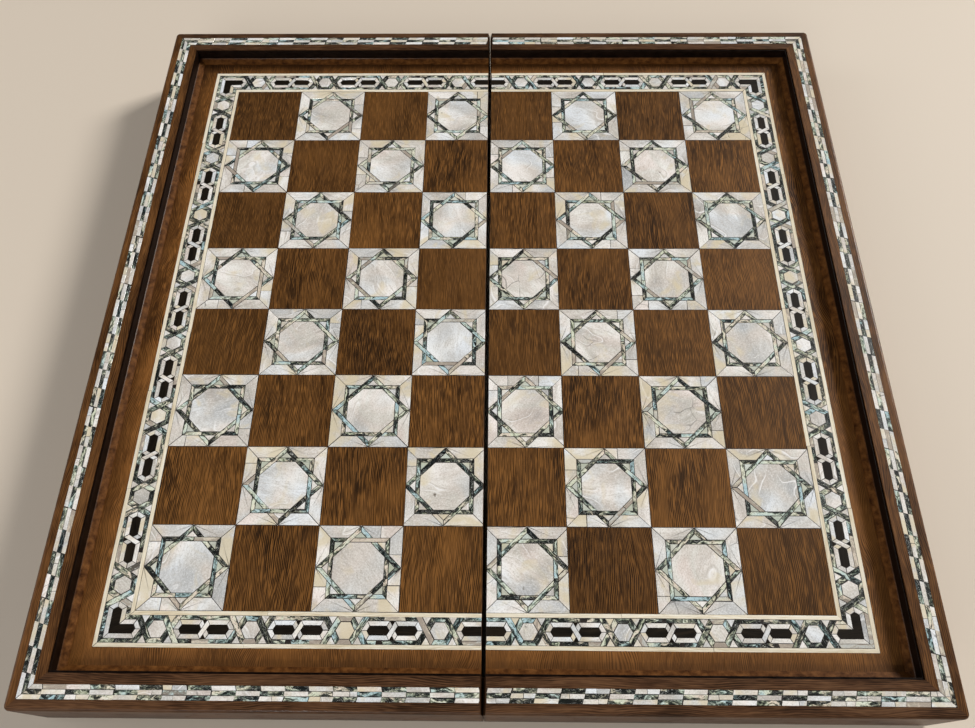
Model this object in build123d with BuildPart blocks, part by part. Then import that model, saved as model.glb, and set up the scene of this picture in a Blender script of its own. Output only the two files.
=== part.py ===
from build123d import *
from math import sqrt, tan, radians
import os

# Folding inlaid game board, modelled open and flat with the chess side up.
# X runs across the fold (left half at -X), Y runs along the fold, Z is up.
# Origin: centre of the footprint, on the plane that the hinge barrels stand on.

# ---- overall sizes, mm ----
board = 502.0  # open width and length
wall = 19.0  # thickness of the outer walls, the raised rim seen from above
fold_gap = 2.4  # between the playing faces of the two halves when open
end_gap = 0.4  # between the ends of their far and near walls, which keep the light out
end_open = 3.0  # between the same ends at the top of the rim
end_bevel = 5.0  # height over which those ends lean back from one gap to the other
half_height = 45.0  # from the mating edge to the top of the rim
rim_drop = 10.5  # playing surface below the rim
hinge_wall = 12.0  # thickness of the wall under the fold

# ---- hinge line ----
barrel_r = 1.75
axis_z = barrel_r
mating_gap = 0.3  # between the mating edges when folded shut
base = axis_z + mating_gap / 2

# ---- layers ----
veneer = 1.0
panel_t = 8.0
tray_veneer_t = 0.8
groove = 5.0  # how far the panel enters the walls

# ---- chess field ----
square = 49.4
fold_column = 46.6  # the column beside the fold, narrower by the saw cut
glue = 0.05  # half of a glue line
line = 2.4  # cream stringing
band = 15.0  # patterned border between the two cream lines

# ---- eight-pointed star ----
star_side = 34.4  # outer side of each of the two crossed squares
strip = 2.3  # width of the dark strips

# ---- border cells ----
cell_pitch = 52.4  # from one hexagon to the next
first_cell = 34.0  # from the outer cream corner to the first hexagon
pair_step = 15.6  # between the two long cells of a pair
hexagon_h = 4.6  # half height of a pearl hexagon
black_h = 2.5  # half height of a black filling
black_l = 6.2  # half length of a black filling
outline_h = 5.2  # half height of its pearl outline
fold_cell_l = 12.4  # half length of the black filling cut by the fold
corner_reach = 12.0  # from the middle line's corner to the point of an L cell

# ---- rim mosaic ----
rim_strip = 7.6
rim_depth = 1.2
brick = 12.8
rim_end = 0.6  # from the fold side of the playing face to the end of the mosaic

# ---- foot moulding in the well ----
foot_w = 5.0
foot_h = 2.6
lining_t = 1.2
lining_h = 9.7

# ---- hinges and hooks ----
hinge_y = 150.0
hinge_len = 50.0
leaf_w = 11.5
leaf_t = 1.2
pin_r = 0.8
hook_y = 110.0
hook_z = 16.0
stud_r = 1.5

# ---- derived levels and lines ----
edge = board / 2
inner = edge - wall
fold = fold_gap / 2
wall_end = end_gap / 2
rim_top = base + half_height
field_top = rim_top - rim_drop
panel_top = field_top - veneer
panel_bottom = panel_top - panel_t
tray_floor = panel_bottom - tray_veneer_t
hinge_face = fold + hinge_wall
field_x = fold + fold_column + 3 * square
field_y = 4 * square
cream_x = field_x + 2 * line + band
cream_y = field_y + 2 * line + band
band_mid = line + band / 2
os.makedirs("parts", exist_ok=True)


def slab(x0, x1, y0, y1, z0, z1, mode=Mode.ADD):
    """Box between two corners."""
    with Locations(((x0 + x1) / 2, (y0 + y1) / 2, (z0 + z1) / 2)):
        Box(x1 - x0, y1 - y0, z1 - z0, mode=mode)


def plate(x0, x1, y0, y1, mode=Mode.ADD):
    """Rectangle between two corners."""
    with Locations(((x0 + x1) / 2, (y0 + y1) / 2)):
        Rectangle(x1 - x0, y1 - y0, mode=mode)


def long_cell(half_l, half_h, rotation=0, mode=Mode.ADD):
    """Hexagon stretched along X, with 120 degree points."""
    shoulder = half_l - half_h / tan(radians(60))
    Polygon(
        (half_l, 0),
        (shoulder, half_h),
        (-shoulder, half_h),
        (-half_l, 0),
        (-shoulder, -half_h),
        (shoulder, -half_h),
        align=None,
        rotation=rotation,
        mode=mode,
    )


def save(part, name):
    part.label = name
    export_step(part, f"parts/{name}.step")


def save_both(part, name):
    """The right half is the left half turned half a turn about Z, so far and near change places."""
    save(part, f"left_{name}")
    with BuildPart() as turned:
        add(part, rotation=(0, 0, 180))
    if name.endswith("_far"):
        name = name.replace("_far", "_near")
    elif name.endswith("_near"):
        name = name.replace("_near", "_far")
    save(turned.part, f"right_{name}")


# ================= wooden carcass of one half =================

# All three outer walls in one profile, cut at the mitres further on.
with BuildPart() as rim:
    slab(-edge, -wall_end, -edge, edge, base, rim_top)
    slab(-inner, 0, -inner, inner, base - 1, rim_top + 1, mode=Mode.SUBTRACT)
    corners = rim.edges().filter_by(Axis.Z).filter_by_position(Axis.X, -edge - 1, -edge + 1)
    fillet(corners, 3.0)
    top = rim.faces().sort_by(Axis.Z)[-1]
    outer_edges = top.outer_wire().edges()
    outside = outer_edges.filter_by(
        lambda e: abs(e.center().Y) > edge - 5 or e.center().X < -edge + 5
    )
    fillet(outside, 1.8)
    lower = rim.edges().filter_by_position(Axis.Z, base - 0.1, base + 0.1)
    fillet(
        lower.filter_by(lambda e: abs(e.center().Y) > edge - 3 or e.center().X < -edge + 3),
        0.8,
    )
    # The ends at the fold lean back towards the top, so the halves meet only lower down.
    with BuildSketch(Plane.XZ.offset(-edge - 1)):
        Polygon(
            (-wall_end, rim_top - end_bevel), (1, rim_top - end_bevel),
            (1, rim_top + 1), (-end_open / 2, rim_top + 1), (-end_open / 2, rim_top), align=None,
        )
    extrude(amount=2 * edge + 2, mode=Mode.SUBTRACT)
    # Groove that holds the panel.
    slab(
        -inner - groove, 0, -inner - groove, inner + groove,
        panel_bottom, panel_top, mode=Mode.SUBTRACT,
    )
    # Channel for the rim mosaic.
    mosaic = wall / 2 - rim_strip / 2
    with BuildSketch(Plane.XY.offset(rim_top)) as channel:
        plate(-edge + mosaic, -fold - rim_end, -edge + mosaic, edge - mosaic)
        plate(
            -edge + mosaic + rim_strip, 0,
            -edge + mosaic + rim_strip, edge - mosaic - rim_strip, mode=Mode.SUBTRACT,
        )
    extrude(amount=-rim_depth, mode=Mode.SUBTRACT)
    # Pilot holes of the hook screws, or of the studs on the other half.
    with Locations(
        *[Pos(-edge, y, hook_z) * Rot(0, 90, 0) for y in (-hook_y, hook_y)]
    ):
        Cylinder(stud_r + 0.02, 20, mode=Mode.SUBTRACT)

# The three walls meet on 45 degree planes through the outer corners.
with BuildPart() as wall_outer:
    add(rim.part)
    with BuildSketch(Plane.XY) as wedge:
        Polygon((-edge - 1, -edge - 1), (0, 0), (-edge - 1, edge + 1), align=None)
    extrude(amount=rim_top + 1, mode=Mode.INTERSECT)
with BuildPart() as wall_far:
    add(rim.part)
    with BuildSketch(Plane.XY) as wedge:
        Polygon((-edge - 1, edge + 1), (0, 0), (1, 0), (1, edge + 1), align=None)
    extrude(amount=rim_top + 1, mode=Mode.INTERSECT)
with BuildPart() as wall_near:
    add(rim.part)
    with BuildSketch(Plane.XY) as wedge:
        Polygon((-edge - 1, -edge - 1), (0, 0), (1, 0), (1, -edge - 1), align=None)
    extrude(amount=rim_top + 1, mode=Mode.INTERSECT)

# The wall under the fold, with mortises for the leaves and room for the barrels.
with BuildPart() as wall_hinge:
    slab(-hinge_face, -fold, -inner, inner, base, panel_bottom)
    for y in (-hinge_y, hinge_y):
        low, high = y - hinge_len / 2, y + hinge_len / 2
        slab(-leaf_w, -fold, low, high, base, base + leaf_t, mode=Mode.SUBTRACT)
        slab(-fold - 1.1, -fold, low - 0.4, high + 0.4, base, base + 2, mode=Mode.SUBTRACT)
        with Locations(*[(-7, y + step, base + 6) for step in (-17, 0, 17)]):
            Cylinder(1.12, 12, mode=Mode.SUBTRACT)

with BuildPart() as panel:
    slab(-inner - groove, -fold, -inner - groove, inner + groove, panel_bottom, panel_top)

for part, name in (
    (wall_outer.part, "wall_outer"),
    (wall_far.part, "wall_far"),
    (wall_near.part, "wall_near"),
    (wall_hinge.part, "wall_hinge"),
    (panel.part, "panel"),
):
    save_both(part, name)

# ================= black lining and foot moulding of the well =================

foot_profile = (
    (0, 0), (foot_w, 0), (foot_w, 0.9), (lining_t + 0.4, foot_h),
    (lining_t, foot_h + 0.4), (lining_t, lining_h), (0, lining_h),
)
with BuildPart() as moulding_outer:
    with BuildSketch(Plane.XZ.offset(inner)) as profile:
        with Locations((-inner, field_top)):
            Polygon(*foot_profile, align=None)
    extrude(amount=-2 * inner)
    with BuildSketch(Plane.XY.offset(field_top)) as wedge:
        Polygon((-inner, -inner), (0, 0), (-inner, inner), align=None)
    extrude(amount=rim_drop, mode=Mode.INTERSECT)
with BuildPart() as moulding_far:
    with BuildSketch(Plane.YZ.offset(-inner)) as profile:
        with Locations((inner, field_top)):
            Polygon(*[(-t, h) for t, h in foot_profile], align=None)
    extrude(amount=inner - fold)
    with BuildSketch(Plane.XY.offset(field_top)) as wedge:
        Polygon((-inner, inner), (0, 0), (1, 0), (1, inner), align=None)
    extrude(amount=rim_drop, mode=Mode.INTERSECT)
with BuildPart() as moulding_near:
    add(moulding_far.part)
    mirror(about=Plane.XZ, mode=Mode.REPLACE)
save_both(moulding_outer.part, "moulding_outer")
save_both(moulding_far.part, "moulding_far")
save_both(moulding_near.part, "moulding_near")

# ================= mosaic bricks on the rim =================

row = rim_strip / 3
rows = (-row, 0, row)
side_mid = edge - wall / 2


def bricks(colour):
    """Every other brick of the three rows, colour 0 or 1, with a glue line around each."""
    size_z = rim_depth
    centre_z = rim_top - rim_depth / 2
    count = int((2 * side_mid - rim_strip) / brick) + 1
    length = (2 * side_mid - rim_strip) / count
    for index in range(count):
        y = -side_mid + rim_strip / 2 + (index + 0.5) * length
        for r, shift in enumerate(rows):
            if (index + r) % 2 == colour:
                with Locations((-side_mid + shift, y, centre_z)):
                    Box(row - 2 * glue, length - 2 * glue, size_z)
    start = -side_mid - rim_strip / 2
    stop = -fold - rim_end
    count = int((stop - start) / brick)
    length = (stop - start) / count
    for index in range(count):
        x = start + (index + 0.5) * length
        for r, shift in enumerate(rows):
            if (index + r) % 2 == colour:
                with Locations((x, side_mid + shift, centre_z), (x, -side_mid - shift, centre_z)):
                    Box(length - 2 * glue, row - 2 * glue, size_z)


with BuildPart() as rim_pearl:
    bricks(0)
with BuildPart() as rim_abalone:
    bricks(1)
save_both(rim_pearl.part, "rim_pearl")
save_both(rim_abalone.part, "rim_abalone")

# ================= chess field =================

# Column centres and widths, counted from the outer edge towards the fold.
columns = [(-field_x + square * (c + 0.5), square) for c in range(3)]
columns.append((-fold - fold_column / 2, fold_column))
row_centres = [field_y - square * (r + 0.5) for r in range(8)]
dark_tiles = []
light_tiles = []
for c, (x, width) in enumerate(columns):
    for r, y in enumerate(row_centres):
        tiles = dark_tiles if (c + r) % 2 == 0 else light_tiles
        tiles.append((x, y, width))


def tile_plates(tiles, mode=Mode.ADD):
    """One plate for each tile, less its glue line."""
    for x, y, width in tiles:
        with Locations((x, y)):
            Rectangle(width - 2 * glue, square - 2 * glue, mode=mode)


def star_squares(side, rotation, mode=Mode.ADD):
    with Locations(*[(x, y) for x, y, width in light_tiles]):
        Rectangle(side, side, rotation=rotation, mode=mode)


with BuildPart() as squares_dark:
    with BuildSketch(Plane.XY.offset(panel_top)):
        tile_plates(dark_tiles)
    extrude(amount=veneer)

star_in = star_side - 2 * strip
with BuildPart() as star_strips:
    with BuildSketch(Plane.XY.offset(panel_top)):
        star_squares(star_side, 0)
        star_squares(star_in, 0, mode=Mode.SUBTRACT)
    extrude(amount=veneer)
    with BuildSketch(Plane.XY.offset(panel_top)):
        star_squares(star_side, 45)
        star_squares(star_in, 45, mode=Mode.SUBTRACT)
    extrude(amount=veneer)
    with BuildSketch(Plane.XY.offset(panel_top)):
        tile_plates(light_tiles)
    extrude(amount=veneer, mode=Mode.INTERSECT)

# The octagon in the middle and the eight small points around it.
with BuildPart() as star_centres:
    with BuildSketch(Plane.XY.offset(panel_top)):
        star_squares(star_side, 0)
        star_squares(star_side, 45)
    extrude(amount=veneer)
    with BuildSketch(Plane.XY.offset(panel_top)):
        tile_plates(light_tiles)
    extrude(amount=veneer, mode=Mode.INTERSECT)
    add(star_strips.part, mode=Mode.SUBTRACT)

with BuildPart() as star_surrounds:
    with BuildSketch(Plane.XY.offset(panel_top)):
        tile_plates(light_tiles)
        star_squares(star_side, 0, mode=Mode.SUBTRACT)
        star_squares(star_side, 45, mode=Mode.SUBTRACT)
    extrude(amount=veneer)

save_both(squares_dark.part, "squares_dark")
save_both(star_centres.part, "star_centres")
save_both(star_strips.part, "star_strips")
save_both(star_surrounds.part, "star_surrounds")

# Two cream lines, one on each side of the patterned border.
with BuildPart() as stringing:
    with BuildSketch(Plane.XY.offset(panel_top)):
        plate(-cream_x, -fold, -cream_y, cream_y)
        plate(-cream_x + line, 0, -cream_y + line, cream_y - line, mode=Mode.SUBTRACT)
        plate(-field_x - line, -fold, -field_y - line, field_y + line)
        plate(-field_x, 0, -field_y, field_y, mode=Mode.SUBTRACT)
    extrude(amount=veneer)
save_both(stringing.part, "stringing")

# Plain veneer between the border and the walls of the well.
with BuildPart() as margin_veneer:
    with BuildSketch(Plane.XY.offset(panel_top)):
        plate(-inner, -fold, cream_y, inner)
        plate(-inner, -fold, -inner, -cream_y)
        plate(-inner, -cream_x, -cream_y, cream_y)
    extrude(amount=veneer)
save_both(margin_veneer.part, "margin_veneer")

# ================= patterned border =================

mid_x = cream_x - band_mid
mid_y = cream_y - band_mid
side_cells = [cream_y - first_cell - cell_pitch * k for k in range(4)]
side_cells += [-y for y in side_cells]
end_cells = [-cream_x + first_cell + cell_pitch * k for k in range(4)]
side_pairs = [cell_pitch * k for k in range(-3, 4)]
end_pairs = [end_cells[k] + cell_pitch / 2 for k in range(3)]


def border_cells(half_l, half_h, mode=Mode.ADD):
    """The long cells, in pairs, along the three sides of the border."""
    for y in side_pairs:
        for shift in (-pair_step / 2, pair_step / 2):
            with Locations((-mid_x, y + shift)):
                long_cell(half_l, half_h, rotation=90, mode=mode)
    for x in end_pairs:
        for shift in (-pair_step / 2, pair_step / 2):
            with Locations((x + shift, mid_y), (x + shift, -mid_y)):
                long_cell(half_l, half_h, mode=mode)


def fold_cells(half_l, half_h, mode=Mode.ADD):
    with Locations((0, mid_y), (0, -mid_y)):
        long_cell(half_l, half_h, mode=mode)


def corner_cells(half_h, reach, mode=Mode.ADD):
    """L-shaped cells in the corners; reach is from the middle line's corner to the point."""
    shoulder = reach - half_h / tan(radians(60))
    for sign in (-1, 1):
        points = (
            (-half_h, -half_h), (shoulder, -half_h), (reach, 0), (shoulder, half_h),
            (half_h, half_h), (half_h, shoulder), (0, reach), (-half_h, shoulder),
        )
        with Locations((-mid_x, sign * mid_y)):
            Polygon(*[(x, -sign * y) for x, y in points], align=None, mode=mode)


point_growth = (outline_h - black_h) / sqrt(3) * 2
with BuildPart() as band_black:
    with BuildSketch(Plane.XY.offset(panel_top)):
        border_cells(black_l, black_h)
        fold_cells(fold_cell_l, black_h)
        corner_cells(black_h, corner_reach)
    extrude(amount=veneer)
    slab(-fold, edge, -edge, edge, base, rim_top, mode=Mode.SUBTRACT)

with BuildPart() as band_pearl:
    with BuildSketch(Plane.XY.offset(panel_top)):
        border_cells(black_l + point_growth, outline_h)
        fold_cells(fold_cell_l + point_growth, outline_h)
        corner_cells(outline_h, corner_reach + point_growth)
        for y in side_cells:
            with Locations((-mid_x, y)):
                long_cell(2 * hexagon_h / sqrt(3), hexagon_h, rotation=90)
        for x in end_cells:
            with Locations((x, mid_y), (x, -mid_y)):
                long_cell(2 * hexagon_h / sqrt(3), hexagon_h)
    extrude(amount=veneer)
    slab(-fold, edge, -edge, edge, base, rim_top, mode=Mode.SUBTRACT)
    add(band_black.part, mode=Mode.SUBTRACT)

with BuildPart() as band_abalone:
    with BuildSketch(Plane.XY.offset(panel_top)):
        plate(-cream_x + line, -fold, -cream_y + line, cream_y - line)
        plate(-field_x - line, 0, -field_y - line, field_y + line, mode=Mode.SUBTRACT)
    extrude(amount=veneer)
    add(band_black.part, mode=Mode.SUBTRACT)
    add(band_pearl.part, mode=Mode.SUBTRACT)

save_both(band_black.part, "band_black")
save_both(band_pearl.part, "band_pearl")
save_both(band_abalone.part, "band_abalone")

# ================= backgammon tray on the other face of the panel =================

tray_border = 6.0
tray_line = 2.0
point_base = (inner - hinge_face - 2 * (tray_border + tray_line)) / 6
point_len = 185.0
tray_end = inner - tray_border - tray_line
tray_x = -inner + tray_border + tray_line


def points(colour):
    """Every other triangular point of the two rows of six."""
    for k in range(6):
        x = tray_x + point_base * k
        half = point_base / 2
        for sign in (1, -1):
            if (k + (sign < 0)) % 2 == colour:
                with Locations((x + half, sign * tray_end)):
                    Polygon(
                        (-half + 0.5, 0), (half - 0.5, 0), (0, -sign * point_len), align=None
                    )


with BuildPart() as points_light:
    with BuildSketch(Plane.XY.offset(tray_floor)):
        points(0)
    extrude(amount=tray_veneer_t)
with BuildPart() as points_dark:
    with BuildSketch(Plane.XY.offset(tray_floor)):
        points(1)
    extrude(amount=tray_veneer_t)
with BuildPart() as tray_stringing:
    with BuildSketch(Plane.XY.offset(tray_floor)):
        plate(
            -inner + tray_border, -hinge_face - tray_border,
            -inner + tray_border, inner - tray_border,
        )
        plate(
            -inner + tray_border + tray_line, -hinge_face - tray_border - tray_line,
            -tray_end, tray_end, mode=Mode.SUBTRACT,
        )
    extrude(amount=tray_veneer_t)
with BuildPart() as tray_veneer:
    slab(-inner, -hinge_face, -inner, inner, tray_floor, panel_bottom)
    add(points_light.part, mode=Mode.SUBTRACT)
    add(points_dark.part, mode=Mode.SUBTRACT)
    add(tray_stringing.part, mode=Mode.SUBTRACT)
save_both(points_light.part, "points_light")
save_both(points_dark.part, "points_dark")
save_both(tray_stringing.part, "tray_stringing")
save_both(tray_veneer.part, "tray_veneer")

# ================= brass butt hinges =================

third = hinge_len / 3
turned = Rot(90, 0, 0)  # lays a cylinder along Y
knuckle_gap = 0.2


def leaf_pair(side, knuckles):
    """Two leaves on one half; side is -1 left or 1 right, knuckles as (centre, length)."""
    for y in (-hinge_y, hinge_y):
        x0, x1 = sorted((side * leaf_w, side * (barrel_r + 0.35)))
        slab(x0, x1, y - hinge_len / 2, y + hinge_len / 2, base, base + leaf_t)
        for centre, length in knuckles:
            low, high = y + centre - length / 2, y + centre + length / 2
            x0, x1 = sorted((side * (barrel_r + 0.35), 0))
            slab(x0, x1, low, high, base, base + leaf_t)
            with Locations(Pos(0, y + centre, axis_z) * turned):
                Cylinder(barrel_r, length)
        with Locations(*[(side * 7, y + step, base + leaf_t / 2) for step in (-17, 0, 17)]):
            Cone(2.4, 1.2, leaf_t, mode=Mode.SUBTRACT)


end_knuckle = third - knuckle_gap / 2
with BuildPart() as hinge_leaves_left:
    leaf_pair(-1, ((-third - knuckle_gap / 4, end_knuckle), (third + knuckle_gap / 4, end_knuckle)))
    with Locations(*[Pos(0, y, axis_z) * turned for y in (-hinge_y, hinge_y)]):
        Cylinder(pin_r, hinge_len + 4, mode=Mode.SUBTRACT)
with BuildPart() as hinge_leaves_right:
    leaf_pair(1, ((0, third - knuckle_gap),))
    with Locations(*[Pos(0, y, axis_z) * turned for y in (-hinge_y, hinge_y)]):
        Cylinder(pin_r + 0.05, hinge_len + 4, mode=Mode.SUBTRACT)
with BuildPart() as hinge_pins:
    with Locations(*[Pos(0, y, axis_z) * turned for y in (-hinge_y, hinge_y)]):
        Cylinder(pin_r, hinge_len)
with BuildPart() as hinge_screws:
    for y in (-hinge_y, hinge_y):
        for step in (-17, 0, 17):
            with Locations((-7, y + step, base + leaf_t / 2)):
                Cone(2.4, 1.2, leaf_t)
            with Locations((-7, y + step, base + leaf_t + 4.5)):
                Cylinder(1.1, 9)
            with Locations((-7, y + step, base + 0.2)):
                Box(0.5, 4.4, 0.4, rotation=(0, 0, 20 * step / 17), mode=Mode.SUBTRACT)
save(hinge_leaves_left.part, "hinge_leaves_left")
save(hinge_leaves_right.part, "hinge_leaves_right")
save(hinge_pins.part, "hinge_pins")
save(hinge_screws.part, "hinge_screws_left")
with BuildPart() as hinge_screws_right:
    add(hinge_screws.part, rotation=(0, 0, 180))
save(hinge_screws_right.part, "hinge_screws_right")

# ================= brass hooks on the outer walls =================

reach = 2 * (hook_z - axis_z)
hook_t = 1.4
hook_gap = 0.5  # between the wall and the hook
head_x = edge + hook_gap + hook_t + 0.3


def hook_outline(sign, y):
    """Flat hook lying along the wall, pointing along sign * Y, with its mouth down."""
    with Locations((y, hook_z)):
        Circle(4.2)
    with Locations((y + sign * reach / 2, hook_z)):
        Rectangle(reach, 4.4)
    with Locations((y + sign * reach, hook_z)):
        Circle(4.4)
    with Locations((y + sign * (reach + 5.5), hook_z + 1.6)):
        Rectangle(5, 2.6, rotation=sign * 20)
    with Locations((y, hook_z)):
        Circle(stud_r + 0.08, mode=Mode.SUBTRACT)
    with Locations((y + sign * reach, hook_z)):
        Circle(stud_r + 0.35, mode=Mode.SUBTRACT)
    with Locations((y + sign * reach, hook_z - 3)):
        Rectangle(2 * stud_r + 0.7, 6, mode=Mode.SUBTRACT)


with BuildPart() as hook_far:
    with BuildSketch(Plane.YZ.offset(-edge - hook_gap - hook_t)):
        hook_outline(-1, hook_y)
    extrude(amount=hook_t)
with BuildPart() as hook_near:
    with BuildSketch(Plane.YZ.offset(-edge - hook_gap - hook_t)):
        hook_outline(1, -hook_y)
    extrude(amount=hook_t)
save(hook_far.part, "hook_far")
save(hook_near.part, "hook_near")

# A headed screw: it holds a hook on the left wall and is the stud on the right wall.
with BuildPart() as wall_screws:
    for y in (-hook_y, hook_y):
        with Locations(Pos(-(edge - 9 + head_x) / 2, y, hook_z) * Rot(0, 90, 0)):
            Cylinder(stud_r, head_x - edge + 9)
        with BuildSketch(Plane.XY.offset(hook_z)) as head:
            with BuildLine():
                Polyline((-head_x, y), (-head_x - 1.7, y), (-head_x - 1.7, y + 1.2))
                ThreePointArc(
                    (-head_x - 1.7, y + 1.2), (-head_x - 1.15, y + 2.6), (-head_x, y + 3.2)
                )
                Line((-head_x, y + 3.2), (-head_x, y))
            make_face()
        revolve(axis=Axis((0, y, hook_z), (1, 0, 0)))
        with Locations((-head_x - 1.5, y, hook_z)):
            Box(0.8, 0.7, 7, rotation=(25, 0, 0), mode=Mode.SUBTRACT)
save(wall_screws.part, "hook_screws")
with BuildPart() as studs:
    add(wall_screws.part, rotation=(0, 0, 180))
save(studs.part, "hook_studs")
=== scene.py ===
"""Looks of the folding inlaid game board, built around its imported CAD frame."""

import math
import random

import bpy
from mathutils import Matrix, Vector


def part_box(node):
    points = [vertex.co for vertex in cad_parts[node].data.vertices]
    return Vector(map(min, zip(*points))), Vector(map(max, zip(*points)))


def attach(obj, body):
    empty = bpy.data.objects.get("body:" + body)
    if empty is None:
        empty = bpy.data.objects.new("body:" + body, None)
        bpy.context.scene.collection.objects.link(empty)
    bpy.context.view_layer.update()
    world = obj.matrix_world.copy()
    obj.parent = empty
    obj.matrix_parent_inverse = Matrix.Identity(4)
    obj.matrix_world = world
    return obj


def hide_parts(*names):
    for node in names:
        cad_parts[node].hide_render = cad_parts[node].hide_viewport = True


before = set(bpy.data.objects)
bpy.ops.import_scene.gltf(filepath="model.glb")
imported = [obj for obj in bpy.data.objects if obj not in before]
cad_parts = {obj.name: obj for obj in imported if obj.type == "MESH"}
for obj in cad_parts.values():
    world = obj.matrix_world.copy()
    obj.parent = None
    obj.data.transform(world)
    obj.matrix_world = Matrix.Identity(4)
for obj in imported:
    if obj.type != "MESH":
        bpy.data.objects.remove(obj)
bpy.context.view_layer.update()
rng = random.Random(7)
MM = 0.001
ROOT3 = math.sqrt(3)

# ---------------------------------------------------------------- sizes, mm
SQUARE = 49.4  # side of a chess square
FOLD_COLUMN = 46.6  # width of the squares beside the fold
LINE = 2.4  # width of a cream line
BAND = 15.0  # width of the patterned border between its lines
STAR_HALF = 17.4  # from a star's centre to the outside of its strips
STRIP = 2.5  # width of a star's strips
CELL_PITCH = 52.4  # from one hexagon of the border to the next
FIRST_CELL = 34.0  # from the corner of the outer cream line to the first hexagon
HEX_H = 4.75  # half the height of a hexagon
BLACK_H = 2.5  # half the height of a black filling
WHITE_W = 2.7  # width of the pearl outline round it
CROSS_W = 3.1  # width of the strips that cross beside a hexagon
BRICK = 12.8  # length of a brick in the rim
RIM_STRIP = 7.6  # width of the rim mosaic, three rows of bricks
RIM_END = 0.6  # from the fold side of the playing face to the end of the mosaic
WALL = 19.0  # thickness of the outer walls
END_REACH = 1.5  # furthest that the far and near walls' ends lie from the fold plane
VENEER = 1.0  # depth of the inlay in the playing face
BRICK_DEPTH = 1.1  # depth of the inlay in the rim
TRAY_LINE = 2.0  # width of the cream line in the tray
BED_DROP = 0.1  # from the face of an inlay down to the glue under it
GAP = 0.34  # between neighbouring pieces
STAR_GAP = 0.42  # the same beside a star's strips
BRICK_GAP = 0.22  # the same between the rim's bricks
LINE_GAP = 0.16  # the same between lengths of a cream line


def mm(value):
    return value / MM


low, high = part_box("left_wall_outer")
EDGE = -mm(low.x)
RIM_TOP = mm(high.z)
INNER = EDGE - WALL
FIELD_TOP = mm(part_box("left_squares_dark")[1].z)
FOLD = -mm(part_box("left_panel")[1].x)
FIELD_X = FOLD + FOLD_COLUMN + 3 * SQUARE
FIELD_Y = 4 * SQUARE
CREAM_X = -mm(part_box("left_stringing")[0].x)
CREAM_Y = mm(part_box("left_stringing")[1].y)
HALF_BAND = BAND / 2
RIM_MID = EDGE - WALL / 2
MID_X = CREAM_X - LINE - HALF_BAND
MID_Y = CREAM_Y - LINE - HALF_BAND
OUTLINE_H = BLACK_H + WHITE_W


# ---------------------------------------------------------------- flat shapes
def cross(a, b):
    return a[0] * b[1] - a[1] * b[0]


def area(poly):
    return sum(cross(poly[i - 1], poly[i]) for i in range(len(poly))) / 2


def wound(poly):
    """The polygon counter-clockwise, without repeated corners."""
    out = []
    for p in poly:
        if not out or math.dist(p, out[-1]) > 1e-4:
            out.append(p)
    if len(out) > 1 and math.dist(out[0], out[-1]) < 1e-4:
        out.pop()
    return out if area(out) > 0 else out[::-1]


def cut(poly, point, normal):
    """Keeps the part of poly behind the line through point whose normal points away."""
    if len(poly) < 3:
        return []
    out = []
    depth = [(p[0] - point[0]) * normal[0] + (p[1] - point[1]) * normal[1] for p in poly]
    for i, p in enumerate(poly):
        q, dp, dq = poly[i - 1], depth[i], depth[i - 1]
        if (dp <= 0) != (dq <= 0):
            t = dq / (dq - dp)
            out.append((q[0] + (p[0] - q[0]) * t, q[1] + (p[1] - q[1]) * t))
        if dp <= 0:
            out.append(p)
    return wound(out) if len(out) > 2 else []


def inset(poly, distance):
    """Moves every side inwards by distance."""
    n = len(poly)
    sides = []
    for i in range(n):
        a, b = poly[i], poly[(i + 1) % n]
        length = math.dist(a, b)
        normal = (-(b[1] - a[1]) / length, (b[0] - a[0]) / length)
        start = (a[0] + normal[0] * distance, a[1] + normal[1] * distance)
        sides.append((start, ((b[0] - a[0]) / length, (b[1] - a[1]) / length)))
    out = []
    for i in range(n):
        (p, d), (q, e) = sides[i - 1], sides[i]
        turn = cross(d, e)
        if abs(turn) < 1e-6:
            out.append(q)
        else:
            t = cross((q[0] - p[0], q[1] - p[1]), e) / turn
            out.append((p[0] + d[0] * t, p[1] + d[1] * t))
    return out


def narrow(poly):
    """Smallest width of the polygon across any of its sides."""
    widths = []
    for i in range(len(poly)):
        a, b = poly[i - 1], poly[i]
        length = math.dist(a, b)
        widths.append(
            max(cross((b[0] - a[0], b[1] - a[1]), (p[0] - a[0], p[1] - a[1])) for p in poly)
            / length
        )
    return min(widths)


def rect(x0, x1, y0, y1):
    return [(x0, y0), (x1, y0), (x1, y1), (x0, y1)]


def pieces_along(start, stop, length, spread=0.25):
    """Cuts a run into pieces of about the given length."""
    count = max(1, round((stop - start) / length))
    marks = [start + (stop - start) * i / count for i in range(count + 1)]
    step = (stop - start) / count
    for i in range(1, count):
        marks[i] += rng.uniform(-spread, spread) * step
    return list(zip(marks, marks[1:]))


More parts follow.
